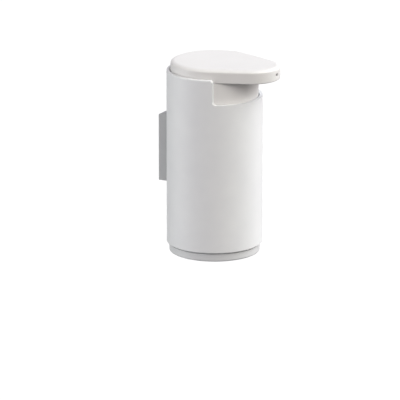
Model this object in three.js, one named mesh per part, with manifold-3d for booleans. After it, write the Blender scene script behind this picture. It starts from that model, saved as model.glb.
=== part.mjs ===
// A wall mounted soap dispenser: a round metal sleeve with a base hangs on a small wall plate, and
// a bottle with a lotion pump under a drop-shaped press head stands inside the sleeve.
// Millimetres, +Z up. The sleeve's own axis is X = Y = 0 while the pieces are made, the spout
// points along -Y and the underside of the base is Z = 0. The last lines move the whole part so
// that its origin is the centre of the wall plate's back face, which lies in the plane Y = 0.
import * as THREE from "three";
import { mergeVertices } from "three/addons/utils/BufferGeometryUtils.js";
import Module from "manifold-3d";

// ---- driving dimensions -------------------------------------------------------------------
const gap = 0.3; // clearance kept between pieces that touch

const sleeveRadius = 35;
const sleeveBore = 32.7;
const sleeveBottom = 7;
const rimHeight = 136.4; // top of the sleeve at the back
const lipHeight = 117.6; // top of the sleeve at the front
const cutDepth = -14.7; // plane of the front cut-out
const cutInnerRound = 2;
const cutOuterRound = 3;
const brokenEdge = 0.4; // small chamfer along the edges of turned pieces
const rimEdge = 0.7; // the wider chamfers of the sleeve's rim

const baseRadius = 33.2; // the ring that shows below the sleeve
const baseRingTop = 5.8;
const baseGrooveRadius = 32.2;
const baseSpigotTop = 12; // the spigot is pressed into the sleeve
const basePocket = 30.7; // where the bottle's foot stands
const baseRecess = 0.8;
const baseFloor = 2.8;
const baseEdge = 1; // chamfer around the underside

const wallGap = 6.1; // from the sleeve's back to the wall
const wallPlane = sleeveRadius + wallGap;
const plateHeight = 40;
const plateCentre = 75;
const plateThickness = 2.4;
const plateFrontWidth = 14;
const plateBackWidth = 11;
const plateHolePitch = 26;
const plateHoleRadius = 2.2;
const plateSinkRadius = 4.2;
const plateSinkLand = 0.2; // straight depth above the countersink's cone

const saddleWidth = 20;
const saddleWallGap = 0.1;
const saddleBottom = 50;
const saddleTop = 99.7; // at the wall; the top rises towards the sleeve
const saddleTopFront = 102;
const channelClearance = 0.36; // between the saddle's dovetail channel and the wall plate

const sleeveScrewPitch = 30;
const sleeveScrewRadius = 1.5;
const sleeveScrewHead = 2.8;
const sleeveScrewFront = 33.2; // the head's flat face, inside the sleeve's wall
const sleeveScrewEnd = 37.6;
const lockScrewRadius = 1.1;
const lockScrewInner = 7.05;

const bottleRadius = 30.3;
const bottleWall = 1.6;
const bottleBottom = baseFloor + gap;
const bottleTop = 100.4;
const neckRadius = 14;
const neckBore = 12.4;
const neckFoot = 103.7;
const neckTop = 114.4;

const closureRadius = 17;
const closureBottom = 104.2;
const closureTop = 117.8;
const closureOpening = 8;
const cylinderRadius = 7;
const cylinderBore = 5.7;
const cylinderFlange = 13.4;
const cylinderTop = 116.4;
const cylinderConeTop = 77;
const cylinderConeFoot = 73;
const tubeSocketRadius = 4.2;
const tubeSocketFoot = 64;
const chamberFloor = 78.5; // where the spring stands
const dipTubeRadius = 2.6;
const dipTubeBore = 1.6;
const dipTubeBottom = 7;

const headRadius = 32.1; // round part of the head
const tipRadius = 21.2; // round tip of the spout
const tipForward = 29.56; // distance of the tip's centre from the axis
const headTop = 143.4;
const spoutUnderside = 133.3;
const headWall = 1.6;
const headRoof = 2.3;
const headEdgeInset = 8; // the top edge is a quarter ellipse
const headEdgeDrop = 2.6;
const skirtRadius = 32;
const skirtBottom = 113.5;
const slotWidth = 4.2;
const slotHeight = 1.9;
const nozzleHeight = 138; // centre of the outlet slot
const nozzleWall = 1.2;
const coverThickness = 1.2; // plate that closes the spout's underside
const coverBore = 31;

const stemRadius = 3.2;
const stemBore = 1.2;
const stemTop = 136.1;
const stemFoot = 97.6;
const pistonStop = 4.6; // radius of the stem's foot and of the piston's waist
const pistonStopHeight = 1.9;
const stemCollarRadius = 4.4;
const stemCollarLow = 105.4;
const stemCollarHigh = 107;
const hubRadius = 6.5;
const discRadius = 28.6;
const discBottom = 133;
const discTop = 134.8;
const hubBottom = 132.6;
const bossCircle = 20; // the three head screws stand on this radius
const bossAngles = [90, 210, 330];
const bossRadius = 3;
const headScrewRadius = 1.1;
const headScrewHead = 2.6;
const headScrewTip = 139.5;

const springRadius = 3.9;
const springWire = 0.45;
const springTurns = 6;
const inletBallRadius = 2;
const outletBallRadius = 1.8;

const coarse = 48; // segments of the large turned pieces
const medium = 28;
const fine = 18;
const radians = Math.PI / 180;

// ---- colours ------------------------------------------------------------------------------
const whiteCoat = { color: 0xe9ebee, roughness: 0.55, metalness: 0 };
const whitePlastic = { color: 0xf2f0ef, roughness: 0.5, metalness: 0 };
const naturalPlastic = { color: 0xe4e6e2, roughness: 0.35, metalness: 0 };
const greyRubber = { color: 0x4a4b4d, roughness: 0.8, metalness: 0 };
const steel = { color: 0xb9bcc0, roughness: 0.35, metalness: 1 };

// ---- solids -------------------------------------------------------------------------------
const wasm = await Module();
wasm.setup();

function toManifold(geometry) {
  const bare = geometry.clone();
  bare.deleteAttribute("normal");
  bare.deleteAttribute("uv");
  const merged = mergeVertices(bare, 1e-4);
  return new wasm.Manifold(
    new wasm.Mesh({
      numProp: 3,
      vertProperties: merged.attributes.position.array,
      triVerts: new Uint32Array(merged.index.array),
    }),
  );
}

function toGeometry(manifold) {
  const mesh = manifold.getMesh();
  const geometry = new THREE.BufferGeometry();
  geometry.setAttribute("position", new THREE.BufferAttribute(mesh.vertProperties, 3));
  geometry.setIndex(new THREE.BufferAttribute(mesh.triVerts, 1));
  return geometry;
}

// first with others joined to it, and cutters taken away
function build(first, { add = [], cut = [] }) {
  let result = toManifold(first);
  for (const piece of add) result = result.add(toManifold(piece));
  for (const piece of cut) result = result.subtract(toManifold(piece));
  return toGeometry(result);
}

// A solid of revolution about Z. profile lists [radius, z] anticlockwise, and either starts and
// ends on the axis or closes on itself.
function turned(profile, segments) {
  const points = profile.map(([r, z]) => new THREE.Vector2(r, z));
  const [first] = profile;
  if (first[0] > 0) points.push(new THREE.Vector2(first[0], first[1]));
  return new THREE.LatheGeometry(points, segments).rotateX(Math.PI / 2);
}

function ring(inner, outer, low, high, segments) {
  return turned([[inner, low], [outer, low], [outer, high], [inner, high]], segments);
}

function disc(radius, low, high, segments) {
  return turned([[0, low], [radius, low], [radius, high], [0, high]], segments);
}

// An outline in the X-Y plane raised from low to high.
function raised(shape, low, high, curveSegments = 12) {
  const options = { depth: high - low, bevelEnabled: false, curveSegments };
  return new THREE.ExtrudeGeometry(shape, options).translate(0, 0, low);
}

// An outline in the Y-Z plane, extruded along X and centred on X = 0.
function acrossX(shape, width, curveSegments = 8) {
  const options = { depth: width, bevelEnabled: false, curveSegments };
  const axes = new THREE.Matrix4().makeBasis(
    new THREE.Vector3(0, 1, 0),
    new THREE.Vector3(0, 0, 1),
    new THREE.Vector3(1, 0, 0),
  );
  return new THREE.ExtrudeGeometry(shape, options).translate(0, 0, -width / 2).applyMatrix4(axes);
}

// An outline in the X-Z plane, extruded along Y from front to back.
function alongY(shape, front, back, curveSegments = 6) {
  const options = { depth: back - front, bevelEnabled: false, curveSegments };
  return new THREE.ExtrudeGeometry(shape, options).rotateX(Math.PI / 2).translate(0, back, 0);
}

// A turned piece laid along Y: profile lists [radius, y].
function turnedAlongY(profile, segments) {
  return turned(profile, segments).rotateX(-Math.PI / 2);
}

function polygon(corners) {
  return new THREE.Shape(corners.map(([x, y]) => new THREE.Vector2(x, y)));
}

function moved(geometry, x, y, z) {
  return geometry.translate(x, y, z);
}

// The drop-shaped outline of the head: a large and a small circle joined by their outer tangents.
function drop(inset) {
  const tangent = Math.asin((headRadius - tipRadius) / tipForward);
  const shape = new THREE.Shape();
  shape.absarc(0, 0, headRadius - inset, -tangent, Math.PI + tangent, false);
  shape.absarc(0, -tipForward, tipRadius - inset, Math.PI + tangent, 2 * Math.PI - tangent, false);
  shape.closePath();
  return shape;
}

// A flat slot outline with half-round ends, centred on x = 0 and y = height.
function slot(width, tall, height) {
  const end = tall / 2;
  const half = width / 2 - end;
  const shape = new THREE.Shape();
  shape.absarc(half, height, end, -Math.PI / 2, Math.PI / 2, false);
  shape.absarc(-half, height, end, Math.PI / 2, (3 * Math.PI) / 2, false);
  shape.closePath();
  return shape;
}

class Helix extends THREE.Curve {
  constructor(radius, low, high, turns) {
    super();
    Object.assign(this, { radius, low, high, turns });
  }
  getPoint(t, target = new THREE.Vector3()) {
    const angle = 2 * Math.PI * this.turns * t;
    const height = this.low + (this.high - this.low) * t;
    return target.set(this.radius * Math.cos(angle), this.radius * Math.sin(angle), height);
  }
}

function named(name, geometry, look) {
  const mesh = new THREE.Mesh(geometry, new THREE.MeshStandardMaterial(look));
  mesh.name = name;
  return mesh;
}

// ---- holder: wall plate, saddle, sleeve, base and their screws ----------------------------
const plateFront = wallPlane - plateThickness;
const screwHeights = [-0.5, 0.5].map((side) => plateCentre + side * sleeveScrewPitch);
const lockScrewDepth = plateFront + 0.5;

// Along Y at the given height: profile lists [radius, y].
function crossHole(profile, height) {
  return moved(turnedAlongY(profile, fine), 0, 0, height);
}

function makeWallPlate() {
  const front = plateFrontWidth / 2;
  const back = plateBackWidth / 2;
  const section = polygon([[-front, plateFront], [front, plateFront], [back, wallPlane], [-back, wallPlane]]);
  const low = plateCentre - plateHeight / 2;
  const sink = plateFront + plateSinkLand;
  const hole = [
    [0, plateFront - 1],
    [plateSinkRadius, plateFront - 1],
    [plateSinkRadius, sink],
    [plateHoleRadius, sink + plateSinkRadius - plateHoleRadius],
    [plateHoleRadius, wallPlane + 1],
    [0, wallPlane + 1],
  ];
  const holes = [-0.5, 0.5].map((side) => crossHole(hole, plateCentre + side * plateHolePitch));
  return build(raised(section, low, low + plateHeight), { cut: holes });
}

function makeSaddle() {
  const inside = sleeveRadius - 5;
  const back = wallPlane - saddleWallGap;
  const block = acrossX(
    polygon([[inside, saddleBottom], [back, saddleBottom], [back, saddleTop], [inside, saddleTopFront + 1]]),
    saddleWidth,
  );
  const slope = (plateFrontWidth - plateBackWidth) / 2 / plateThickness;
  const halfWidth = (y) => plateFrontWidth / 2 - slope * (y - plateFront) + channelClearance;
  const channelFront = plateFront - gap;
  const channel = polygon([
    [-halfWidth(channelFront), channelFront],
    [halfWidth(channelFront), channelFront],
    [halfWidth(wallPlane), wallPlane],
    [-halfWidth(wallPlane), wallPlane],
  ]);
  const channelTop = plateCentre + plateHeight / 2 + gap;
  const shank = sleeveScrewRadius + gap;
  const hole = [[0, inside], [shank, inside], [shank, wallPlane], [0, wallPlane]];
  const lockHole = moved(
    disc(lockScrewRadius + gap, 0, saddleWidth, fine).rotateY(Math.PI / 2),
    0,
    lockScrewDepth,
    plateCentre,
  );
  return build(block, {
    cut: [
      disc(sleeveRadius + gap, saddleBottom - 5, saddleTopFront + 10, coarse),
      raised(channel, saddleBottom - 1, channelTop),
      ...screwHeights.map((z) => crossHole(hole, z)),
      lockHole,
    ],
  });
}

function makeSleeve() {
  const tube = turned(
    [
      [sleeveBore, sleeveBottom],
      [sleeveRadius - brokenEdge, sleeveBottom],
      [sleeveRadius, sleeveBottom + brokenEdge],
      [sleeveRadius, rimHeight - rimEdge],
      [sleeveRadius - rimEdge, rimHeight],
      [sleeveBore + rimEdge, rimHeight],
      [sleeveBore, rimHeight - rimEdge],
    ],
    coarse,
  );
  const front = -sleeveRadius - 5;
  const above = rimHeight + 5;
  const profile = new THREE.Shape();
  profile.moveTo(front, lipHeight);
  profile.lineTo(cutDepth - cutInnerRound, lipHeight);
  profile.absarc(
    cutDepth - cutInnerRound, lipHeight + cutInnerRound, cutInnerRound, -Math.PI / 2, 0, false,
  );
  profile.absarc(
    cutDepth + cutOuterRound, rimHeight - cutOuterRound, cutOuterRound, Math.PI, Math.PI / 2, true,
  );
  profile.lineTo(cutDepth + cutOuterRound, above);
  profile.lineTo(front, above);
  profile.closePath();
  const head = sleeveScrewHead + gap;
  const shank = sleeveScrewRadius + gap;
  const sink = [
    [0, sleeveBore - 3],
    [head, sleeveBore - 3],
    [head, sleeveScrewFront],
    [shank, sleeveScrewFront + head - shank],
    [shank, sleeveRadius + 1],
    [0, sleeveRadius + 1],
  ];
  const sinks = screwHeights.map((z) => crossHole(sink, z));
  return build(tube, { cut: [acrossX(profile, 2 * sleeveRadius + 4), ...sinks] });
}

function makeBase() {
  const spigot = sleeveBore - gap;
  const recessEdge = basePocket - 1;
  return turned(
    [
      [0, baseRecess],
      [recessEdge, baseRecess],
      [recessEdge + baseRecess, 0],
      [baseRadius - baseEdge, 0],
      [baseRadius, baseEdge],
      [baseRadius, baseRingTop],
      [baseGrooveRadius, baseRingTop],
      [baseGrooveRadius, sleeveBottom + gap],
      [spigot, sleeveBottom + gap],
      [spigot, baseSpigotTop],
      [basePocket, baseSpigotTop],
      [basePocket, baseFloor],
      [0, baseFloor],
    ],
    coarse,
  );
}

function makeSleeveScrew(z) {
  const front = sleeveScrewFront;
  const socketRadius = 0.9;
  const socketEnd = front + 1;
  const socket = turnedAlongY(
    [[0, front - 1], [socketRadius, front - 1], [socketRadius, socketEnd], [0, socketEnd]],
    6,
  );
  const body = turnedAlongY(
    [
      [0, front],
      [sleeveScrewHead, front],
      [sleeveScrewRadius, front + sleeveScrewHead - sleeveScrewRadius],
      [sleeveScrewRadius, sleeveScrewEnd],
      [0, sleeveScrewEnd],
    ],
    fine,
  );
  return moved(build(body, { cut: [socket] }), 0, 0, z);
}

function makeLockScrew() {
  const outer = saddleWidth / 2 - gap;
  const socketRadius = 0.65;
  const socketDepth = 1.2;
  const body = disc(lockScrewRadius, lockScrewInner, outer, fine);
  const socket = disc(socketRadius, outer - socketDepth, outer + 1, 6);
  return moved(build(body, { cut: [socket] }).rotateY(Math.PI / 2), 0, lockScrewDepth, plateCentre);
}

const holder = new THREE.Group();
holder.add(
  named("wall_plate", makeWallPlate(), steel),
  named("saddle", makeSaddle(), whiteCoat),
  named("sleeve", makeSleeve(), whiteCoat),
  named("base", makeBase(), whiteCoat),
  named("sleeve_screw_lower", makeSleeveScrew(screwHeights[0]), steel),
  named("sleeve_screw_upper", makeSleeveScrew(screwHeights[1]), steel),
  named("lock_screw", makeLockScrew(), steel),
);

// ---- bottle -------------------------------------------------------------------------------
function makeBottle() {
  const footInner = 25; // radius of the recess inside the standing ring
  const footRise = 1; // its height
  const domeEdge = 20; // the shoulder bends up here
  const domeRise = 1.9;
  const floor = bottleBottom + footRise + bottleWall;
  const inner = bottleRadius - bottleWall;
  const ceiling = bottleTop - bottleWall;
  return turned(
    [
      [0, bottleBottom + footRise],
      [footInner, bottleBottom + footRise],
      [footInner + 0.6, bottleBottom],
      [bottleRadius - 1.8, bottleBottom],
      [bottleRadius - 0.5, bottleBottom + 0.5],
      [bottleRadius, bottleBottom + 1.8],
      [bottleRadius, bottleTop - 2.9],
      [bottleRadius - 0.8, bottleTop - 0.9],
      [bottleRadius - 2.5, bottleTop],
      [domeEdge, bottleTop + domeRise],
      [neckRadius, neckFoot],
      [neckRadius, neckTop],
      [neckBore, neckTop],
      [neckBore, neckFoot - bottleWall],
      [domeEdge, ceiling + domeRise],
      [inner - 1.6, ceiling],
      [inner, ceiling - 1.6],
      [inner, floor + 1],
      [inner - 1, floor],
      [0, floor],
    ],
    coarse,
  );
}

// ---- pump: what is screwed on the neck ----------------------------------------------------
const guideBottom = 107.6;
const guideTop = 119.4;
const seatBottom = 72.6; // lower edge of the inlet ball's conical seat
const socketTop = seatBottom - 0.8; // end of the dip tube's socket
const flangeThickness = 1;
const inletChamber = 2.6;
const ballLip = 1.7; // keeps the inlet ball in its chamber
const inletBallHeight = seatBottom - stemBore + inletBallRadius * Math.SQRT2 + 0.15;

function makeClosure() {
  const inner = neckRadius + 0.4;
  return turned(
    [
      [inner, closureBottom],
      [closureRadius, closureBottom],
      [closureRadius, closureTop - 1],
      [closureRadius - 1, closureTop],
      [closureOpening, closureTop],
      [closureOpening, cylinderTop + 0.1],
      [inner, cylinderTop + 0.1],
    ],
    medium,
  );
}

function makePumpCylinder() {
  const socketBore = dipTubeRadius + gap;
  const lipBottom = chamberFloor - 0.6;
  return turned(
    [
      [socketBore, tubeSocketFoot],
      [tubeSocketRadius, tubeSocketFoot],
      [tubeSocketRadius, cylinderConeFoot],
      [cylinderRadius, cylinderConeTop],
      [cylinderRadius, cylinderTop - flangeThickness],
      [cylinderFlange, cylinderTop - flangeThickness],
      [cylinderFlange, cylinderTop],
      [cylinderBore, cylinderTop],
      [cylinderBore, chamberFloor],
      [ballLip, chamberFloor],
      [ballLip, lipBottom],
      [inletChamber, lipBottom],
      [inletChamber, seatBottom + inletChamber - stemBore],
      [stemBore, seatBottom],
      [stemBore, socketTop],
      [socketBore, socketTop],
    ],
    fine,
  );
}

function makeDipTube() {
  const tube = ring(dipTubeBore, dipTubeRadius, dipTubeBottom, socketTop - gap, fine);
  const slant = new THREE.BoxGeometry(20, 20, 10).translate(0, 0, -5).rotateX(45 * radians);
  return build(tube, { cut: [moved(slant, 0, 0, dipTubeBottom + dipTubeRadius)] });
}

function makeStemGuide() {
  const flange = closureOpening - 0.4;
  return turned(
    [
      [stemRadius + gap, guideBottom],
      [cylinderBore - gap, guideBottom],
      [cylinderBore - gap, cylinderTop + gap],
      [flange, cylinderTop + gap],
      [flange, guideTop - 0.8],
      [flange - 1, guideTop],
      [stemRadius + gap, guideTop],
    ],
    fine,
  );
}

function makeSpring() {
  const inset = springWire + 0.15;
  const path = new Helix(springRadius, chamberFloor + inset, stemFoot - inset, springTurns);
  const section = new THREE.Shape().absarc(0, 0, springWire, 0, 2 * Math.PI, false);
  const steps = springTurns * 9;
  const options = { steps, extrudePath: path, curveSegments: 3, bevelEnabled: false };
  return new THREE.ExtrudeGeometry(section, options);
}

function makeBall(radius, height) {
  return moved(new THREE.SphereGeometry(radius, 12, 8).rotateX(Math.PI / 2), 0, 0, height);
}

function makeGasket() {
  const top = cylinderTop - flangeThickness - 0.1;
  return ring(cylinderRadius + gap, neckRadius - 0.1, neckTop + 0.1, top, medium);
}

const pump = new THREE.Group();
pump.add(
  named("closure_cap", makeClosure(), whitePlastic),
  named("gasket", makeGasket(), greyRubber),
  named("pump_cylinder", makePumpCylinder(), naturalPlastic),
  named("stem_guide", makeStemGuide(), whitePlastic),
  named("spring", makeSpring(), steel),
  named("inlet_ball", makeBall(inletBallRadius, inletBallHeight), steel),
  named("dip_tube", makeDipTube(), naturalPlastic),
);

// ---- head: what moves when it is pressed --------------------------------------------------
const roofUnderside = headTop - headRoof;
const bossBottom = discTop + gap;
const stemShoulder = 130.6; // upper edge of the outlet ball's conical seat
const outletChamber = 2.2;
const outletSeat = stemShoulder - (outletChamber - stemBore);
const outletBallHeight = outletSeat - stemBore + outletBallRadius * Math.SQRT2 + 0.15;

const bossPlaces = bossAngles.map((angle) => [
  bossCircle * Math.cos(angle * radians),
  bossCircle * Math.sin(angle * radians),
]);

function atBosses(make) {
  return bossPlaces.map(([x, y]) => moved(make(), x, y, 0));
}

function makeHeadShell() {
  const rounded = new THREE.ExtrudeGeometry(drop(0), {
    depth: headTop - spoutUnderside,
    bevelThickness: headEdgeDrop,
    bevelSize: headEdgeInset,
    bevelOffset: -headEdgeInset,
    bevelSegments: 4,
    curveSegments: 20,
  }).translate(0, 0, spoutUnderside - headEdgeDrop);
  const below = new THREE.BoxGeometry(200, 200, 20).translate(0, 0, spoutUnderside - 10);
  const bosses = atBosses(() => disc(bossRadius, bossBottom, roofUnderside + 0.6, 16));
  const pilots = atBosses(() => disc(headScrewRadius + gap, bossBottom - 1, headScrewTip + 0.4, 12));
  const block = build(rounded, { cut: [below] });
  const hollow = build(block, {
    add: [disc(skirtRadius, skirtBottom, spoutUnderside + 1, coarse)],
    cut: [
      disc(skirtRadius - headWall, skirtBottom - 1, spoutUnderside + 0.5, coarse),
      raised(drop(headWall), spoutUnderside, roofUnderside, 20),
      alongY(slot(slotWidth, slotHeight, nozzleHeight), -60, -40),
    ],
  });
  return build(hollow, { add: bosses, cut: pilots });
}

function makeSpoutCover() {
  const low = spoutUnderside + gap;
  const plate = raised(drop(headWall + gap), low, low + coverThickness, 20);
  return build(plate, { cut: [disc(coverBore, low - 1, low + coverThickness + 1, coarse)] });
}

function makeHeadCore() {
  const ductRadius = 1.4;
  const ductTop = nozzleHeight + 1.2;
  const hubTop = ductTop + 1;
  const socket = stemRadius + gap;
  const hub = turned(
    [
      [0, ductTop],
      [ductRadius, ductTop],
      [ductRadius, stemTop + gap],
      [socket, stemTop + gap],
      [socket, hubBottom],
      [hubRadius, hubBottom],
      [hubRadius, discBottom],
      [discRadius, discBottom],
      [discRadius, discTop],
      [hubRadius, discTop],
      [hubRadius, hubTop],
      [0, hubTop],
    ],
    medium,
  );
  const outlet = alongY(slot(2.2, 2.2, nozzleHeight), -hubRadius - 1, 0);
  const screwHoles = atBosses(() => disc(headScrewRadius + 0.5, discBottom - 1, discTop + 1, 16));
  return build(hub, { cut: [outlet, ...screwHoles] });
}

function makeNozzle() {
  const outline = slot(slotWidth + 2 * nozzleWall, slotHeight + 2 * nozzleWall, nozzleHeight);
  outline.holes.push(slot(slotWidth, slotHeight, nozzleHeight));
  const recessed = 2.3; // from the spout's tip to the tube's open end
  return alongY(outline, recessed - tipForward - tipRadius, -hubRadius - gap);
}

function makeStem() {
  const footTop = stemFoot + pistonStopHeight;
  return turned(
    [
      [stemBore, stemFoot],
      [pistonStop, stemFoot],
      [pistonStop, footTop],
      [stemRadius, footTop],
      [stemRadius, stemCollarLow],
      [stemCollarRadius, stemCollarLow],
      [stemCollarRadius, stemCollarHigh],
      [stemRadius, stemCollarHigh + 0.2],
      [stemRadius, stemTop],
      [outletChamber, stemTop],
      [outletChamber, stemShoulder],
      [stemBore, outletSeat],
    ],
    fine,
  );
}

function makePiston() {
  const low = stemFoot + pistonStopHeight + gap;
  const high = stemCollarLow - gap;
  const lip = cylinderBore - gap;
  return turned(
    [
      [stemRadius + gap, low],
      [lip, low],
      [lip, low + 1.2],
      [pistonStop, low + 1.7],
      [pistonStop, high - 1.7],
      [lip, high - 1.2],
      [lip, high],
      [stemRadius + gap, high],
    ],
    fine,
  );
}

function makeHeadScrew([x, y]) {
  const top = discBottom - 0.1;
  const rim = headScrewHead - brokenEdge;
  const screw = turned(
    [
      [0, top - 1.5],
      [rim, top - 1.5],
      [headScrewHead, top - 1.5 + brokenEdge],
      [headScrewHead, top],
      [headScrewRadius, top],
      [headScrewRadius, headScrewTip - 0.3],
      [0, headScrewTip],
    ],
    16,
  );
  const socket = disc(0.9, top - 3, top - 0.6, 6);
  return moved(build(screw, { cut: [socket] }), x, y, 0);
}

const head = new THREE.Group();
head.add(
  named("head_shell", makeHeadShell(), whitePlastic),
  named("spout_cover", makeSpoutCover(), whitePlastic),
  named("head_core", makeHeadCore(), naturalPlastic),
  named("nozzle", makeNozzle(), greyRubber),
  named("stem", makeStem(), naturalPlastic),
  named("piston", makePiston(), naturalPlastic),
  named("outlet_ball", makeBall(outletBallRadius, outletBallHeight), steel),
);
bossPlaces.forEach((place, i) => head.add(named(`head_screw_${i + 1}`, makeHeadScrew(place), steel)));

// ---- the whole dispenser ------------------------------------------------------------------
const dispenser = new THREE.Group();
dispenser.add(holder, named("bottle", makeBottle(), whitePlastic), pump, head);
dispenser.position.set(0, -wallPlane, -plateCentre);

export default dispenser;
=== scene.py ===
"""A wall mounted soap dispenser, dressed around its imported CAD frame.

Metres, +Z up. The wall is the plane Y = 0 and the spout points along -Y. A shape is given as an
outline of (distance, height) points, where a third number is the radius that rounds its corner.
"""
import math

import bmesh
import bpy
from mathutils import Matrix, Vector


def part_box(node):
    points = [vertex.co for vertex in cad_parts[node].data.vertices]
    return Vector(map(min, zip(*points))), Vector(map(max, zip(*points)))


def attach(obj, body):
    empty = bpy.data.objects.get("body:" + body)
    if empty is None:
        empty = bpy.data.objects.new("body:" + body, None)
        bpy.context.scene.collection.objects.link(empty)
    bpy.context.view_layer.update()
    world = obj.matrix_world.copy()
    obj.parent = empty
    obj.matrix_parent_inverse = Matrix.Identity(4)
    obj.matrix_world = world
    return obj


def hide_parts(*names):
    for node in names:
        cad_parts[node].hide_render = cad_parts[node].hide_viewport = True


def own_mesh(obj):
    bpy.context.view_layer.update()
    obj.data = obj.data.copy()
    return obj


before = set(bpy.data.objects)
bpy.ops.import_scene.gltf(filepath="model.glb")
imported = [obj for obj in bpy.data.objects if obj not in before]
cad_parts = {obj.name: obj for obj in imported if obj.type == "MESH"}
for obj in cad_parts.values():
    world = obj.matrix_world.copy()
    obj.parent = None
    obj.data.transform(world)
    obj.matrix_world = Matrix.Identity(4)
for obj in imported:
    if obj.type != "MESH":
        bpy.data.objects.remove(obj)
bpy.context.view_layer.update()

MM = 0.001
GAP = 0.3 * MM
PAST = 10 * MM  # how far a long cutter runs past what it cuts
ON_AXIS = 0.001 * MM  # the radius of a ring that closes an end on its axis

# ---- places and sizes taken from the frame --------------------------------------------------
SLEEVE_LOW, SLEEVE_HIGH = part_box("sleeve")
SADDLE_LOW, SADDLE_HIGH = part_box("saddle")
PLATE_LOW, PLATE_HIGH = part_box("wall_plate")
SHELL_LOW, SHELL_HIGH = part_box("head_shell")
AXIS_Y = (SLEEVE_LOW.y + SLEEVE_HIGH.y) / 2
FOOT_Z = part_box("base")[0].z
SLEEVE_R = SLEEVE_HIGH.x
SLEEVE_BORE = SLEEVE_R - 2.3 * MM
RIM_Z = SLEEVE_HIGH.z
LIP_Z = RIM_Z - 18.8 * MM
CUT_Y = AXIS_Y - 14.7 * MM
CUT_INNER_ROUND = 2 * MM
CUT_OUTER_ROUND = 3 * MM

HEAD_TOP = SHELL_HIGH.z
HEAD_R = SHELL_HIGH.y - AXIS_Y
TIP_R = 21.2 * MM
TIP_FORWARD = (AXIS_Y - SHELL_LOW.y) - TIP_R
SPOUT_Z = HEAD_TOP - 10.1 * MM
HEAD_WALL = 1.6 * MM
HEAD_ROOF = 2.3 * MM
HEAD_ROOF_INSET = 8 * MM
HEAD_EDGE_INSET = 4 * MM
HEAD_EDGE_DROP = 2.4 * MM
HEAD_UNDER_EDGE = 0.9 * MM
SKIRT_R = HEAD_R - 0.1 * MM
SKIRT_LOW = SHELL_LOW.z
SLOT_WIDTH = 4.2 * MM
SLOT_HEIGHT = 1.9 * MM
SLOT_Z = HEAD_TOP - 5.4 * MM

SEGMENTS = 192
# the slope of the head's straight sides, which touch the big arc and the tip's arc
TANGENT = math.asin((HEAD_R - TIP_R) / TIP_FORWARD)


def extent(node):
    """A node's outer radius about the bottle's axis, and its lowest and highest level."""
    low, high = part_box(node)
    return high.x, low.z, high.z


# ---- outlines ---------------------------------------------------------------------------------
def rounded(corners, closed=False, steps=5):
    """The corners of an outline, each with a third number replaced by an arc of that radius."""
    points = []
    count = len(corners)
    for i, corner in enumerate(corners):
        here = Vector(corner[:2])
        radius = corner[2] if len(corner) > 2 else 0
        if not radius or (not closed and i in (0, count - 1)):
            points.append(here)
            continue
        before = (Vector(corners[i - 1][:2]) - here).normalized()
        after = (Vector(corners[(i + 1) % count][:2]) - here).normalized()
        half = before.angle(after) / 2
        centre = here + (before + after).normalized() * (radius / math.sin(half))
        start = here + before * (radius / math.tan(half)) - centre
        turn = start.angle_signed(here + after * (radius / math.tan(half)) - centre)
        for k in range(steps + 1):
            points.append(centre + Matrix.Rotation(-turn * k / steps, 2) @ start)
    return points


def drop_ring(inset, z, arc_steps=96, side_steps=12):
    """The head's outline, inset from its edge, as a ring of points at height z."""
    ring = []
    big, small = HEAD_R - inset, TIP_R - inset
    for k in range(arc_steps + 1):
        angle = -TANGENT + (math.pi + 2 * TANGENT) * k / arc_steps
        ring.append(Vector((big * math.cos(angle), big * math.sin(angle) + AXIS_Y, z)))
    small_ring = []
    for k in range(arc_steps // 2 + 1):
        angle = math.pi + TANGENT + (math.pi - 2 * TANGENT) * k / (arc_steps // 2)
        y = AXIS_Y - TIP_FORWARD + small * math.sin(angle)
        small_ring.append(Vector((small * math.cos(angle), y, z)))
    left = [ring[-1].lerp(small_ring[0], k / side_steps) for k in range(1, side_steps)]
    right = [small_ring[-1].lerp(ring[0], k / side_steps) for k in range(1, side_steps)]
    return ring + left + small_ring + right


def slot_ring(grow, y, steps=12):
    """The outlet slot's outline, grown outwards, as a ring of points at depth y."""
    end = SLOT_HEIGHT / 2 + grow
    half = (SLOT_WIDTH - SLOT_HEIGHT) / 2
    ring = []
    for side, first in ((half, -math.pi / 2), (-half, math.pi / 2)):
        for k in range(steps + 1):
            angle = first + math.pi * k / steps
            ring.append(Vector((side + end * math.cos(angle), y, SLOT_Z + end * math.sin(angle))))
    return ring


# ---- mesh tools -------------------------------------------------------------------------------
def mesh_object(name, bm):
    bmesh.ops.remove_doubles(bm, verts=bm.verts, dist=1e-7)
    bmesh.ops.recalc_face_normals(bm, faces=bm.faces)
    mesh = bpy.data.meshes.new(name)
    bm.to_mesh(mesh)
    bm.free()
    obj = bpy.data.objects.new(name, mesh)
    bpy.context.scene.collection.objects.link(obj)
    return obj


def lofted(name, rings, closed_tube=False):
    """A skin through rings of equally many points; its ends are capped unless the tube closes."""
    bm = bmesh.new()
    loops = [[bm.verts.new(p) for p in ring] for ring in rings]
    pairs = list(zip(loops, loops[1:]))
    if closed_tube:
        pairs.append((loops[-1], loops[0]))
    for low, high in pairs:
        for i in range(len(low)):
            j = (i + 1) % len(low)
            bm.faces.new((low[i], low[j], high[j], high[i]))
    if not closed_tube:
        bm.faces.new(loops[0])
        bm.faces.new(loops[-1])
    return mesh_object(name, bm)


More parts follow.
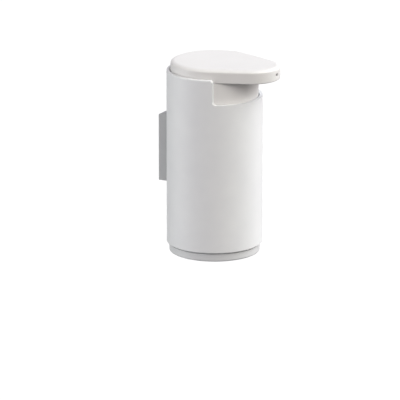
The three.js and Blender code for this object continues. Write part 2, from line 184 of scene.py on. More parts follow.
def turned(name, outline, centre=(0, None, 0), axis="Z", segments=SEGMENTS, steps=5):
    """A solid of revolution from an outline of (radius, level[, round]).

    It stands on the bottle's axis, or on the line through centre along another axis. An outline
    that starts and ends at radius 0 is open there, and any other outline closes on itself.
    """
    x0, y0, z0 = centre[0], AXIS_Y if centre[1] is None else centre[1], centre[2]
    closed = outline[0][0] > 0
    rings = []
    for radius, level in rounded(outline, closed, steps):
        reach = max(radius, ON_AXIS)
        ring = []
        for k in range(segments):
            angle = 2 * math.pi * k / segments
            u, v = reach * math.cos(angle), reach * math.sin(angle)
            place = {
                "X": (level, y0 + u, z0 + v),
                "Y": (x0 + u, level, z0 + v),
                "Z": (x0 + u, y0 + v, level),
            }
            ring.append(Vector(place[axis]))
        rings.append(ring)
    return lofted(name, rings, closed_tube=closed)


def rod(name, radius, low, high, **where):
    """A plain round cutter or bar."""
    return turned(name, [(0, low), (radius, low), (radius, high), (0, high)], **where)


def prism(name, outline, axis, low, high):
    """A flat outline extruded along axis. An outline's two numbers are the other two axes."""
    order = {"X": (2, 0, 1), "Y": (0, 2, 1), "Z": (0, 1, 2)}[axis]

    def place(point, level):
        numbers = (point[0], point[1], level)
        return Vector(tuple(numbers[i] for i in order))

    rings = [[place(p, level) for p in outline] for level in (low, high)]
    return lofted(name, rings)


def applied(obj):
    """Turns the object's modifiers into its own mesh."""
    graph = bpy.context.evaluated_depsgraph_get()
    mesh = bpy.data.meshes.new_from_object(obj.evaluated_get(graph))
    obj.modifiers.clear()
    obj.data = mesh
    return obj


def combined(obj, operation, others):
    for other in others:
        step = obj.modifiers.new("step", "BOOLEAN")
        step.operation = operation
        step.solver = "EXACT"
        step.object = other
    applied(obj)
    for other in others:
        bpy.data.objects.remove(other)
    return obj


def carved(obj, *cutters):
    """Takes the cutters away from the object and deletes them."""
    return combined(obj, "DIFFERENCE", cutters)


def joined(obj, *others):
    """Makes one solid of the object and the others."""
    return combined(obj, "UNION", others)


def softened(obj, width, segments=3, angle=32):
    """Rounds the object's sharp edges by a small real bevel."""
    bevel = obj.modifiers.new("edges", "BEVEL")
    bevel.width = width
    bevel.segments = segments
    bevel.limit_method = "ANGLE"
    bevel.angle_limit = math.radians(angle)
    bevel.use_clamp_overlap = True
    bevel.harden_normals = True
    obj.data.shade_smooth()
    return applied(obj)


def smooth(obj, angle=32):
    """Smooth shading that keeps the large faces flat and the edges over angle sharp."""
    obj.data.shade_smooth()
    obj.data.set_sharp_from_angle(angle=math.radians(angle))
    normals = obj.modifiers.new("normals", "WEIGHTED_NORMAL")
    normals.keep_sharp = True
    return applied(obj)


def finish_piece(obj, material, body, slot, *nodes):
    obj.data.materials.clear()
    obj.data.materials.append(material)
    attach(obj, body)
    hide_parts(*nodes)
    return obj


# ---- materials --------------------------------------------------------------------------------
class Look:
    """A principled material with helpers for its procedural detail."""

    def __init__(self, name, colour, roughness, metallic=0.0, **sockets):
        self.material = bpy.data.materials.new(name)
        self.material.use_nodes = True
        self.tree = self.material.node_tree
        self.shader = self.tree.nodes["Principled BSDF"]
        self.shader.inputs["Base Color"].default_value = (*colour, 1)
        self.shader.inputs["Roughness"].default_value = roughness
        self.shader.inputs["Metallic"].default_value = metallic
        for socket, value in sockets.items():
            self.shader.inputs[socket.replace("_", " ")].default_value = value
        self.place = self.tree.nodes.new("ShaderNodeTexCoord").outputs["Object"]

    def noise(self, scale, detail=3.0, stretch=(1, 1, 1)):
        mapping = self.tree.nodes.new("ShaderNodeMapping")
        mapping.inputs["Scale"].default_value = stretch
        self.tree.links.new(self.place, mapping.inputs["Vector"])
        noise = self.tree.nodes.new("ShaderNodeTexNoise")
        noise.inputs["Scale"].default_value = scale
        noise.inputs["Detail"].default_value = detail
        self.tree.links.new(mapping.outputs["Vector"], noise.inputs["Vector"])
        return noise.outputs["Fac"]

    def ramp(self, factor, low, high):
        """factor spread from the colour low to the colour high."""
        ramp = self.tree.nodes.new("ShaderNodeValToRGB")
        ramp.color_ramp.elements[0].position = 0.3
        ramp.color_ramp.elements[1].position = 0.7
        ramp.color_ramp.elements[0].color = (*low, 1)
        ramp.color_ramp.elements[1].color = (*high, 1)
        self.tree.links.new(factor, ramp.inputs["Fac"])
        return ramp.outputs["Color"]

    def spread(self, factor, low, high):
        """factor spread from the number low to the number high."""
        spread = self.tree.nodes.new("ShaderNodeMapRange")
        spread.inputs["From Min"].default_value = 0.3
        spread.inputs["From Max"].default_value = 0.7
        spread.inputs["To Min"].default_value = low
        spread.inputs["To Max"].default_value = high
        self.tree.links.new(factor, spread.inputs["Value"])
        return spread.outputs["Result"]

    def colour_from(self, factor, low, high):
        self.tree.links.new(self.ramp(factor, low, high), self.shader.inputs["Base Color"])
        return self

    def roughness_from(self, factor, low, high):
        self.tree.links.new(self.spread(factor, low, high), self.shader.inputs["Roughness"])
        return self

    def bump(self, height, strength, distance):
        bump = self.tree.nodes.new("ShaderNodeBump")
        bump.inputs["Strength"].default_value = strength
        bump.inputs["Distance"].default_value = distance
        self.tree.links.new(height, bump.inputs["Height"])
        self.tree.links.new(bump.outputs["Normal"], self.shader.inputs["Normal"])
        return self


def powder_coat(name, shade):
    """shade scales the white of the sleeve's coat; below 1 it paints shade into a copy of the same
    coat.
    """
    low, high = [[shade * c for c in tone] for tone in ((0.83, 0.84, 0.86), (0.86, 0.87, 0.885))]
    look = Look(name, low, 0.5)
    look.colour_from(look.noise(60, 4), low, high)
    look.roughness_from(look.noise(900, 2), 0.46, 0.56)
    look.bump(look.noise(1500, 2), 0.10, 0.05 * MM)
    return look.material


def moulded_white():
    look = Look("white_moulded_plastic", (0.82, 0.81, 0.80), 0.45)
    look.colour_from(look.noise(45, 3), (0.81, 0.80, 0.79), (0.83, 0.82, 0.812))
    look.roughness_from(look.noise(700, 3), 0.40, 0.50)
    look.bump(look.noise(2600, 2), 0.08, 0.02 * MM)
    return look.material


def bottle_polyethylene():
    look = Look("blown_white_polyethylene", (0.84, 0.84, 0.83), 0.4)
    look.colour_from(look.noise(30, 2, (1, 1, 0.3)), (0.82, 0.82, 0.81), (0.86, 0.86, 0.85))
    look.roughness_from(look.noise(250, 3), 0.34, 0.46)
    look.bump(look.noise(180, 2), 0.06, 0.1 * MM)
    return look.material


def natural_plastic():
    look = Look("natural_polypropylene", (0.78, 0.80, 0.77), 0.35, Subsurface_Weight=0.15)
    look.shader.inputs["Subsurface Scale"].default_value = 0.002
    look.colour_from(look.noise(90, 3), (0.74, 0.76, 0.73), (0.82, 0.84, 0.81))
    look.roughness_from(look.noise(500, 3), 0.28, 0.42)
    look.bump(look.noise(1200, 2), 0.08, 0.03 * MM)
    return look.material


def dark_rubber():
    look = Look("dark_rubber", (0.06, 0.06, 0.065), 0.75)
    look.colour_from(look.noise(300, 4), (0.045, 0.045, 0.05), (0.075, 0.075, 0.08))
    look.roughness_from(look.noise(1500, 3), 0.65, 0.85)
    look.bump(look.noise(2500, 3), 0.2, 0.03 * MM)
    return look.material


def plain_steel():
    look = Look("stainless_steel", (0.46, 0.46, 0.45), 0.45, metallic=1.0)
    look.colour_from(look.noise(120, 3), (0.43, 0.43, 0.42), (0.49, 0.49, 0.48))
    look.roughness_from(look.noise(400, 4, (1, 1, 14)), 0.38, 0.54)
    look.bump(look.noise(500, 3, (1, 1, 20)), 0.12, 0.02 * MM)
    return look.material


COAT = powder_coat("white_powder_coat", 1)
# painted shade: the base has the sleeve's white coat, darkened to 0.86 to stand in for the dimmer light
# at the foot
BASE_COAT_WITH_PAINTED_SHADE = powder_coat("base_powder_coat_painted_shade", 0.86)
# painted shadow: the saddle has the sleeve's white coat, darkened to 0.64 to stand in for the wall's
# shadow on the bracket
SADDLE_COAT_WITH_PAINTED_SHADE = powder_coat("saddle_powder_coat_painted_shade", 0.64)
WHITE = moulded_white()
BLOWN = bottle_polyethylene()
NATURAL = natural_plastic()
RUBBER = dark_rubber()
STEEL = plain_steel()


# ---- camera, light and floor ------------------------------------------------------------------
FLOOR_HALF = 40
FLOOR_DROP = 2.2  # the dispenser hangs on a wall, well above the floor
MIX_VECTOR_A, MIX_VECTOR_B, MIX_VECTOR_RESULT = 4, 5, 1  # places of a Mix node's vector sockets

CAMERA_AZIMUTH = math.radians(-62.2)
CAMERA_ELEVATION = math.radians(15.823)
CAMERA_DISTANCE = 3.1698
CAMERA_LENS = 389.96
CAMERA_AIM = Vector((-4.96 * MM, AXIS_Y + 9.39 * MM, FOOT_Z + 37.48 * MM))

# Each light is a soft patch of the studio's dome: its direction, how tight it is, its colour.
DOME_LIGHTS = [
    ((0.71, -0.71, 0.9), 10, (3.47, 3.67, 4.12)),
    ((0, -1, 0.9), 10, (1.98, 1.97, 1.38)),
    ((-0.71, -0.71, 0.9), 10, (3.45, 3.27, 3.42)),
    ((-0.5, 0.87, 0), 10, (3.76, 3.79, 3.73)),
    ((0.87, -0.5, 0), 10, (1.81, 1.65, 1.62)),
    ((0.87, 0.5, 0), 10, (1.27, 1.20, 1.34)),
    ((0, 0, -1), 2, (0.35, 0.35, 0.35)),
]


def make_camera():
    data = bpy.data.cameras.new("camera")
    data.lens = CAMERA_LENS
    data.sensor_width = 36
    camera = bpy.data.objects.new("camera", data)
    bpy.context.scene.collection.objects.link(camera)
    level = math.cos(CAMERA_ELEVATION)
    back = Vector((
        math.sin(CAMERA_AZIMUTH) * level,
        -math.cos(CAMERA_AZIMUTH) * level,
        math.sin(CAMERA_ELEVATION),
    ))
    camera.location = CAMERA_AIM + back * CAMERA_DISTANCE
    camera.rotation_mode = "QUATERNION"
    camera.rotation_quaternion = (-back).to_track_quat("-Z", "Y")
    bpy.context.scene.camera = camera


def make_world():
    """A dome with soft patches of light, which the camera itself sees as plain white."""
    world = bpy.data.worlds.new("studio")
    world.use_nodes = True
    bpy.context.scene.world = world
    tree = world.node_tree
    link = tree.links.new
    background = tree.nodes["Background"]
    direction = tree.nodes.new("ShaderNodeTexCoord").outputs["Generated"]

    def vector_step(operation, first):
        step = tree.nodes.new("ShaderNodeVectorMath")
        step.operation = operation
        link(first, step.inputs[0])
        return step

    total = None
    for axis, tightness, colour in DOME_LIGHTS:
        towards = vector_step("DOT_PRODUCT", direction)
        towards.inputs[1].default_value = Vector(axis).normalized()
        value = towards.outputs["Value"]
        for operation, number in (("MAXIMUM", 0), ("POWER", tightness)):
            step = tree.nodes.new("ShaderNodeMath")
            step.operation = operation
            step.inputs[1].default_value = number
            link(value, step.inputs[0])
            value = step.outputs["Value"]
        patch = vector_step("MULTIPLY", value)
        patch.inputs[1].default_value = colour
        light = patch.outputs["Vector"]
        if total is not None:
            both = vector_step("ADD", total)
            link(light, both.inputs[1])
            light = both.outputs["Vector"]
        total = light
    seen = tree.nodes.new("ShaderNodeMix")
    seen.data_type = "VECTOR"
    link(tree.nodes.new("ShaderNodeLightPath").outputs["Is Camera Ray"], seen.inputs["Factor"])
    link(total, seen.inputs[MIX_VECTOR_A])
    seen.inputs[MIX_VECTOR_B].default_value = (1, 1, 1)
    link(seen.outputs[MIX_VECTOR_RESULT], background.inputs["Color"])


def make_floor():
    bm = bmesh.new()
    bmesh.ops.create_grid(bm, x_segments=1, y_segments=1, size=FLOOR_HALF)
    floor = mesh_object("floor", bm)
    floor.location.z = FOOT_Z - FLOOR_DROP
    look = Look("pale_floor", (0.3, 0.3, 0.3), 0.9)
    look.shader.inputs["Specular IOR Level"].default_value = 0
    look.shader.inputs["Emission Color"].default_value = (1, 1, 1, 1)
    look.shader.inputs["Emission Strength"].default_value = 0.72
    floor.data.materials.append(look.material)
    floor.visible_diffuse = False
    floor.visible_glossy = False


make_camera()
make_world()
make_floor()
bpy.context.scene.view_settings.view_transform = "Standard"


# ---- holder -----------------------------------------------------------------------------------
SLEEVE_SCREWS = ("sleeve_screw_lower", "sleeve_screw_upper")
SCREW_LEVELS = [(low.z + high.z) / 2 for low, high in map(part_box, SLEEVE_SCREWS)]
PLATE_HOLE_LEVELS = (-13 * MM, 13 * MM)


def make_sleeve():
    tube = turned("sleeve_tube", [
        (SLEEVE_BORE, SLEEVE_LOW.z, 0.3 * MM),
        (SLEEVE_R, SLEEVE_LOW.z, 0.4 * MM),
        (SLEEVE_R, RIM_Z, 1.1 * MM),
        (SLEEVE_BORE, RIM_Z, 0.6 * MM),
    ])
    front = AXIS_Y - SLEEVE_R - 5 * MM
    above = RIM_Z + 5 * MM
    past_round = CUT_Y + CUT_OUTER_ROUND + 0.01 * MM
    window = rounded([
        (front, LIP_Z),
        (CUT_Y, LIP_Z, CUT_INNER_ROUND),
        (CUT_Y, RIM_Z, CUT_OUTER_ROUND),
        (past_round, RIM_Z),
        (past_round, above),
        (front, above),
    ], closed=True, steps=10)
    back = AXIS_Y + SLEEVE_R
    sinks = [
        turned("sink", [
            (0, back - 5 * MM),
            (3.1 * MM, back - 5 * MM),
            (3.1 * MM, back - 1.8 * MM),
            (1.8 * MM, back - 0.5 * MM),
            (1.8 * MM, back + 1 * MM),
            (0, back + 1 * MM),
        ], centre=(0, 0, z), axis="Y", segments=48)
        for z in SCREW_LEVELS
    ]
    carved(tube, prism("window", window, "X", -SLEEVE_R * 1.1, SLEEVE_R * 1.1))
    softened(tube, 0.6 * MM, segments=4)
    carved(tube, *sinks)
    smooth(tube)
    finish_piece(tube, COAT, "holder", "white_coat", "sleeve")


def make_base():
    radius, low, high = extent("base")
    spigot = SLEEVE_BORE - GAP
    pocket = spigot - 1.7 * MM
    ring_top = SLEEVE_LOW.z - 1.2 * MM
    groove_top = SLEEVE_LOW.z + GAP
    base = turned("base_ring", [
        (0, low + 0.8 * MM),
        (pocket - 1 * MM, low + 0.8 * MM, 0.4 * MM),
        (pocket - 0.2 * MM, low, 0.3 * MM),
        (radius, low, 1.3 * MM),
        (radius, ring_top, 0.3 * MM),
        (radius - 1 * MM, ring_top, 0.15 * MM),
        (radius - 1 * MM, groove_top, 0.1 * MM),
        (spigot, groove_top, 0.1 * MM),
        (spigot, high, 0.5 * MM),
        (pocket, high, 0.5 * MM),
        (pocket, low + 2.8 * MM, 1 * MM),
        (0, low + 2.8 * MM),
    ])
    smooth(base)
    # painted shade: the base gets the sleeve's coat darkened, not a greyer paint
    finish_piece(base, BASE_COAT_WITH_PAINTED_SHADE, "holder", "white_coat", "base")


def make_saddle():
    back = SADDLE_HIGH.y
    low, high = SADDLE_LOW.z, SADDLE_HIGH.z
    half = SADDLE_HIGH.x
    inside = AXIS_Y + SLEEVE_R - 4 * MM
    top_rise = 2.1 * MM
    side = [(inside, low), (back, low), (back, high - top_rise), (inside, high + 1.2 * MM)]
    block = prism("saddle_block", side, "X", -half, half)
    tube = rod("tube_space", SLEEVE_R + 0.06 * MM, low - PAST, high + PAST)
    front = PLATE_LOW.y - GAP
    wide, narrow = 7.36 * MM, 5.8 * MM
    behind = 1 * MM
    channel = [(-wide, front), (wide, front), (narrow, behind), (-narrow, behind)]
    room = prism("plate_space", channel, "Z", low - PAST, PLATE_HIGH.z + GAP)
    carved(block, tube, room)
    softened(block, 0.35 * MM)
    lock_low, lock_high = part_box("lock_screw")
    place = (0, (lock_low.y + lock_high.y) / 2, (lock_low.z + lock_high.z) / 2)
    carved(block, rod("lock_hole", 1.35 * MM, 0, half * 1.2, centre=place, axis="X", segments=48))
    smooth(block)
    # painted shadow: the saddle gets the sleeve's coat darkened, not a grey paint
    finish_piece(block, SADDLE_COAT_WITH_PAINTED_SHADE, "holder", "white_coat", "saddle")


def make_wall_plate():
    front, low, high = PLATE_LOW.y, PLATE_LOW.z, PLATE_HIGH.z
    wide, narrow = PLATE_HIGH.x, PLATE_HIGH.x - 1.5 * MM
    section = [(-wide, front), (wide, front), (narrow, 0), (-narrow, 0)]
    plate = prism("wall_plate_steel", section, "Z", low, high)
    softened(plate, 0.25 * MM)
    holes = [
        turned("sink", [
            (0, front - 1 * MM),
            (4.2 * MM, front - 1 * MM),
            (4.2 * MM, front + 0.2 * MM),
            (2.2 * MM, front + 2.2 * MM),
            (2.2 * MM, 1 * MM),
            (0, 1 * MM),
        ], centre=(0, 0, z), axis="Y", segments=64)
        for z in PLATE_HOLE_LEVELS
    ]
    carved(plate, *holes)
    smooth(plate)
    finish_piece(plate, STEEL, "holder", "steel", "wall_plate")


def make_sleeve_screw(node, level):
    low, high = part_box(node)
    head, shank = high.x, 1.5 * MM
    place = {"centre": (0, 0, level), "axis": "Y"}
    screw = turned(node + "_steel", [
        (0, low.y),
        (head, low.y, 0.1 * MM),
        (shank, low.y + head - shank, 0.2 * MM),
        (shank, high.y, 0.3 * MM),
        (0, high.y),
    ], segments=64, **place)
    carved(screw, rod("socket", 1 * MM, low.y - 1 * MM, low.y + 1 * MM, segments=6, **place))
    smooth(screw)
    finish_piece(screw, STEEL, "holder", "steel", node)


def make_lock_screw():
    low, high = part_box("lock_screw")
    place = {"centre": (0, (low.y + high.y) / 2, (low.z + high.z) / 2), "axis": "X"}
    radius = (high.z - low.z) / 2
    screw = turned("lock_screw_steel", [
        (0, low.x),
        (radius, low.x, 0.3 * MM),
        (radius, high.x, 0.2 * MM),
        (0, high.x),
    ], segments=64, **place)
    carved(screw, rod("socket", 0.7 * MM, high.x - 1.2 * MM, high.x + 1 * MM, segments=6, **place))
    smooth(screw)
    finish_piece(screw, STEEL, "holder", "steel", "lock_screw")


make_sleeve()
make_base()
make_saddle()
make_wall_plate()
for screw_name, screw_level in zip(SLEEVE_SCREWS, SCREW_LEVELS):
    make_sleeve_screw(screw_name, screw_level)
make_lock_screw()


# ---- bottle -----------------------------------------------------------------------------------
NECK_R = 14 * MM


def thread_ridge(radius, low, turns, pitch, depth, width):
    """A rounded thread ridge around the axis, which fades in and out at its ends."""
    steps = int(turns * 72)
    rings = []
    for k in range(steps + 1):
        turn = 2 * math.pi * turns * k / steps
        fade = min(1, 6 * k / steps, 6 * (steps - k) / steps)
        reach = depth * fade - 0.2 * MM * (1 - fade)
        level = low + pitch * turns * k / steps
        ring = []
        for side, out in ((-0.5, -0.4 * MM), (0.5, -0.4 * MM), (0.22, reach), (-0.22, reach)):
            r = radius + out
            ring.append(Vector((r * math.cos(turn), AXIS_Y + r * math.sin(turn), level + side * width)))
        rings.append(ring)
    return lofted("thread", rings)


def make_bottle():
    radius, foot, neck_top = extent("bottle")
    wall = 1.6 * MM
    top = foot + 97.3 * MM
    neck_foot = top + 3.3 * MM
    inner = radius - wall
    floor = foot + 2.6 * MM
    bore = NECK_R - wall
    bottle = turned("bottle_skin", [
        (0, foot + 1 * MM),
        (25 * MM, foot + 1 * MM, 0.5 * MM),
        (25.6 * MM, foot, 0.4 * MM),
        (radius, foot, 1.6 * MM),
        (radius, top, 2.6 * MM),
        (radius - 2.5 * MM, top, 1.5 * MM),
        (20 * MM, top + 1.9 * MM, 6 * MM),
        (NECK_R, neck_foot, 0.8 * MM),
        (NECK_R, neck_top, 0.4 * MM),
        (bore, neck_top, 0.4 * MM),
        (bore, neck_foot - wall, 0.6 * MM),
        (20 * MM, top + 0.3 * MM, 6 * MM),
        (inner - 1.6 * MM, top - wall, 1 * MM),
        (inner, top - wall - 1.6 * MM, 1 * MM),
        (inner, floor, 1.2 * MM),
        (0, floor),
    ])
    joined(bottle, thread_ridge(NECK_R, neck_foot + 3.5 * MM, 1.6, 3.2 * MM, 0.35 * MM, 1.7 * MM))
    smooth(bottle)
    finish_piece(bottle, BLOWN, "bottle", "white_plastic", "bottle")


make_bottle()


# ---- pump -------------------------------------------------------------------------------------
CYLINDER_BORE = 5.7 * MM
STEM_R = 3.2 * MM


def make_closure():
    radius, low, high = extent("closure_cap")
    inner = NECK_R + 0.4 * MM
    roof = high - 1.3 * MM
    cap = turned("closure_skin", [
        (inner, low, 0.3 * MM),
        (radius, low, 0.3 * MM),
        (radius, low + 0.8 * MM),
        (radius, high - 1.6 * MM),
        (radius, high, 1 * MM),
        (8 * MM, high, 0.3 * MM),
        (8 * MM, roof),
        (inner, roof, 0.3 * MM),
    ], segments=432)
    grooves, depth = 72, 0.35 * MM
    for vertex in cap.data.vertices:
        x, y = vertex.co.x, vertex.co.y - AXIS_Y
        reach = math.hypot(x, y)
        if reach > radius - 0.05 * MM and low + 0.7 * MM < vertex.co.z < high - 1.5 * MM:
            dip = depth * (0.5 - 0.5 * math.cos(grooves * math.atan2(y, x)))
            vertex.co.x -= x / reach * dip
            vertex.co.y -= y / reach * dip
    smooth(cap, 50)
    finish_piece(cap, WHITE, "pump", "white_plastic", "closure_cap")


def make_gasket():
    radius, low, high = extent("gasket")
    inner = 7.3 * MM
    edge = 0.15 * MM
    gasket = turned("gasket_ring", [
        (inner, low, edge), (radius, low, edge), (radius, high, edge), (inner, high, edge),
    ])
    smooth(gasket)
    finish_piece(gasket, RUBBER, "pump", "grey_rubber", "gasket")


def make_cylinder():
    flange, low, high = extent("pump_cylinder")
    outer, socket, socket_bore = 7 * MM, 4.2 * MM, 2.9 * MM
    chamber = low + 14.5 * MM
    seat = low + 8.6 * MM
    cylinder = turned("pump_cylinder_body", [
        (socket_bore, low, 0.3 * MM),
        (socket, low, 0.4 * MM),
        (socket, low + 9 * MM, 1 * MM),
        (outer, low + 13 * MM, 1 * MM),
        (outer, high - 1 * MM, 0.5 * MM),
        (flange, high - 1 * MM, 0.2 * MM),
        (flange, high, 0.2 * MM),
        (CYLINDER_BORE, high, 0.2 * MM),
        (CYLINDER_BORE, chamber, 0.4 * MM),
        (1.7 * MM, chamber, 0.15 * MM),
        (1.7 * MM, chamber - 0.6 * MM, 0.15 * MM),
        (2.6 * MM, chamber - 0.6 * MM, 0.2 * MM),
        (2.6 * MM, seat + 1.4 * MM),
        (1.2 * MM, seat),
        (1.2 * MM, seat - 0.8 * MM),
        (socket_bore, seat - 0.8 * MM, 0.2 * MM),
    ], segments=96)
    smooth(cylinder)
    finish_piece(cylinder, NATURAL, "pump", "natural_plastic", "pump_cylinder")


def make_guide():
    flange, low, high = extent("stem_guide")
    bore = STEM_R + GAP
    body = CYLINDER_BORE - GAP
    step = high - 2.7 * MM
    guide = turned("stem_guide_ring", [
        (bore, low, 0.2 * MM),
        (body, low, 0.3 * MM),
        (body, step, 0.2 * MM),
        (flange, step, 0.2 * MM),
        (flange, high, 0.9 * MM),
        (bore, high, 0.3 * MM),
    ], segments=96)
    smooth(guide)
    finish_piece(guide, WHITE, "pump", "white_plastic", "stem_guide")


def make_dip_tube():
    radius, low, high = extent("dip_tube")
    tube = turned("dip_tube_body", [
        (1.6 * MM, low), (radius, low), (radius, high, 0.15 * MM), (1.6 * MM, high, 0.15 * MM),
    ], segments=64)
    side = 9 * MM
    foot = low - 6.4 * MM
    slant = [(AXIS_Y - side, foot), (AXIS_Y + side, foot), (AXIS_Y + side, foot + 2 * side)]
    carved(tube, prism("slant", slant, "X", -side, side))
    smooth(tube)
    finish_piece(tube, NATURAL, "pump", "natural_plastic", "dip_tube")


def make_spring():
    low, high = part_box("spring")
    wire = 0.45 * MM
    radius = high.x - wire
    turns, closed_turns, steps, sides = 7, 0.9, 420, 12
    length = high.z - low.z - 2 * wire
    closed_rise = 2 * wire * closed_turns
    rings = []
    for k in range(steps + 1):
        turn = turns * k / steps
        share = min(max((turn - closed_turns) / (turns - 2 * closed_turns), 0), 1)
        ends = min(turn, closed_turns) + max(turn - turns + closed_turns, 0)
        level = low.z + wire + ends * 2 * wire + share * (length - 2 * closed_rise)
        angle = 2 * math.pi * turn
        ring = []
        for side in range(sides):
            around = 2 * math.pi * side / sides
            r = radius + wire * math.cos(around)
            z = level + wire * math.sin(around)
            ring.append(Vector((r * math.cos(angle), AXIS_Y + r * math.sin(angle), z)))
        rings.append(ring)
    spring = lofted("spring_coil", rings)
    spring.data.shade_smooth()
    finish_piece(spring, STEEL, "pump", "steel", "spring")
    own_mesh(spring)


def make_ball(node, body):
    low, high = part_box(node)
    radius = (high.z - low.z) / 2
    centre = (low.z + high.z) / 2
    steps = 24
    outline = []
    for k in range(steps + 1):
        angle = math.pi * k / steps
        reach = radius * math.sin(angle) if 0 < k < steps else 0
        outline.append((reach, centre - radius * math.cos(angle)))
    ball = turned(node + "_steel", outline, segments=48)
    smooth(ball, 60)
    finish_piece(ball, STEEL, body, "steel", node)


make_closure()
make_gasket()
make_cylinder()
make_guide()
make_dip_tube()
make_spring()
make_ball("inlet_ball", "inlet_ball")
make_ball("outlet_ball", "outlet_ball")


# ---- head -------------------------------------------------------------------------------------
HEAD_SCREWS = ("head_screw_1", "head_screw_2", "head_screw_3")
BOSSES = [(low + high) / 2 for low, high in map(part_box, HEAD_SCREWS)]
ROOF = HEAD_TOP - HEAD_ROOF


def crowned_edge(steps=14):
    """The head's soft top edge, a quarter ellipse of (inset, level) points."""
    turns = [math.pi / 2 * k / steps for k in range(steps + 1)]
    return [
        (HEAD_EDGE_INSET * (1 - math.sin(t)), HEAD_TOP - HEAD_EDGE_DROP * (1 - math.cos(t)))
        for t in turns
    ]


def make_head():
    outline = crowned_edge() + rounded([
        (0, HEAD_TOP - HEAD_EDGE_DROP - HEAD_UNDER_EDGE),
        (0, SPOUT_Z, HEAD_UNDER_EDGE),
        (HEAD_WALL, SPOUT_Z, 0.3 * MM),
        (HEAD_WALL, ROOF, 1.2 * MM),
        (HEAD_ROOF_INSET, ROOF),
    ], steps=10)
    head = lofted("head_shell_skin", [drop_ring(inset, z) for inset, z in outline])
    inner = SKIRT_R - HEAD_WALL
    skirt = turned("skirt", [
        (inner, SKIRT_LOW, 0.5 * MM),
        (SKIRT_R, SKIRT_LOW, 0.5 * MM),
        (SKIRT_R, SPOUT_Z + 1 * MM),
        (inner, SPOUT_Z + 1 * MM),
    ])
    joined(head, skirt)
    slot = lofted("slot", [slot_ring(0, SHELL_LOW.y + depth) for depth in (-5 * MM, 6 * MM)])
    carved(head, slot)
    smooth(head)
    finish_piece(head, WHITE, "head", "white_plastic", "head_shell")
    for i, boss in enumerate(BOSSES):
        make_boss(f"head_boss_{i + 1}", boss)


def make_boss(name, place):
    low, high = SPOUT_Z + 1.8 * MM, ROOF + 0.3 * MM
    boss = turned(name, [
        (1.4 * MM, low, 0.2 * MM), (3 * MM, low, 0.3 * MM), (3 * MM, high), (1.4 * MM, high),
    ], centre=(place.x, place.y, 0), segments=48)
    smooth(boss)
    finish_piece(boss, WHITE, "head", "white_plastic", "head_shell")


def make_spout_cover():
    low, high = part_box("spout_cover")
    inset = HEAD_WALL + GAP
    cover = lofted("spout_cover_plate", [drop_ring(inset, z) for z in (low.z, high.z)])
    inner_end = 31 * MM
    carved(cover, rod("head_space", inner_end, low.z - PAST, high.z + PAST))
    softened(cover, 0.2 * MM)
    finish_piece(cover, WHITE, "head", "white_plastic", "spout_cover")


def make_core():
    radius, low, high = extent("head_core")
    hub, socket = 6.5 * MM, STEM_R + GAP
    under, upper = low + 0.4 * MM, low + 2.2 * MM
    core = turned("head_core_disc", [
        (0, high - 1 * MM),
        (1.4 * MM, high - 1 * MM),
        (1.4 * MM, low + 3.8 * MM),
        (socket, low + 3.8 * MM),
        (socket, low, 0.3 * MM),
        (hub, low, 0.3 * MM),
        (hub, under, 0.1 * MM),
        (radius, under, 0.3 * MM),
        (radius, upper, 0.3 * MM),
        (hub, upper, 0.5 * MM),
        (hub, high, 0.5 * MM),
        (0, high),
    ], segments=144)
    holes = [
        rod("screw_hole", 1.6 * MM, low - PAST, upper + 1 * MM, centre=(boss.x, boss.y, 0), segments=48)
        for boss in BOSSES
    ]
    place = {"centre": (0, 0, SLOT_Z), "axis": "Y"}
    duct = rod("duct", 1.1 * MM, AXIS_Y - hub - 1 * MM, AXIS_Y, segments=48, **place)
    carved(core, duct, *holes)
    smooth(core)
    finish_piece(core, NATURAL, "head", "natural_plastic", "head_core")


def make_nozzle():
    low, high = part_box("nozzle")
    wall = 1.2 * MM
    rings = [slot_ring(0, low.y), slot_ring(wall, low.y), slot_ring(wall, high.y), slot_ring(0, high.y)]
    nozzle = lofted("nozzle_tube", rings, closed_tube=True)
    softened(nozzle, 0.2 * MM)
    finish_piece(nozzle, RUBBER, "head", "grey_rubber", "nozzle")


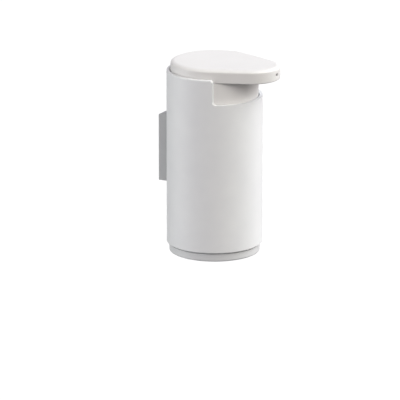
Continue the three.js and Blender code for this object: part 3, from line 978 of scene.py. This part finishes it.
def make_stem():
    foot_r, low, high = extent("stem")
    collar = low + 7.8 * MM
    stem = turned("stem_tube", [
        (1.2 * MM, low, 0.2 * MM),
        (foot_r, low, 0.4 * MM),
        (foot_r, low + 1.9 * MM, 0.2 * MM),
        (STEM_R, low + 1.9 * MM, 0.2 * MM),
        (STEM_R, collar, 0.2 * MM),
        (4.4 * MM, collar, 0.2 * MM),
        (4.4 * MM, collar + 1.6 * MM, 0.3 * MM),
        (STEM_R, collar + 1.8 * MM, 0.3 * MM),
        (STEM_R, high, 0.2 * MM),
        (2.2 * MM, high, 0.2 * MM),
        (2.2 * MM, high - 5.5 * MM),
        (1.2 * MM, high - 6.5 * MM),
    ], segments=96)
    smooth(stem)
    finish_piece(stem, NATURAL, "head", "natural_plastic", "stem")


def make_piston():
    lip, low, high = extent("piston")
    waist, bore = 4.6 * MM, STEM_R + GAP
    piston = turned("piston_seal", [
        (bore, low, 0.1 * MM),
        (lip, low, 0.2 * MM),
        (lip, low + 1.2 * MM, 0.2 * MM),
        (waist, low + 1.7 * MM, 0.3 * MM),
        (waist, high - 1.7 * MM, 0.3 * MM),
        (lip, high - 1.2 * MM, 0.2 * MM),
        (lip, high, 0.2 * MM),
        (bore, high, 0.1 * MM),
    ], segments=96)
    smooth(piston)
    finish_piece(piston, NATURAL, "head", "natural_plastic", "piston")


def make_head_screw(node, place):
    low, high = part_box(node)
    head, shank, seat = (high.x - low.x) / 2, 1.1 * MM, low.z + 1.5 * MM
    centre = (place.x, place.y, 0)
    screw = turned(node + "_steel", [
        (0, low.z),
        (head, low.z, 0.5 * MM),
        (head, seat, 0.1 * MM),
        (shank, seat, 0.1 * MM),
        (shank, high.z - 0.6 * MM, 0.3 * MM),
        (0, high.z),
    ], centre=centre, segments=64)
    carved(screw, rod("socket", 1 * MM, low.z - 1 * MM, low.z + 0.9 * MM, centre=centre, segments=6))
    smooth(screw)
    finish_piece(screw, STEEL, "head", "steel", node)


make_head()
make_spout_cover()
make_core()
make_nozzle()
make_stem()
make_piston()
for screw_name, screw_place in zip(HEAD_SCREWS, BOSSES):
    make_head_screw(screw_name, screw_place)
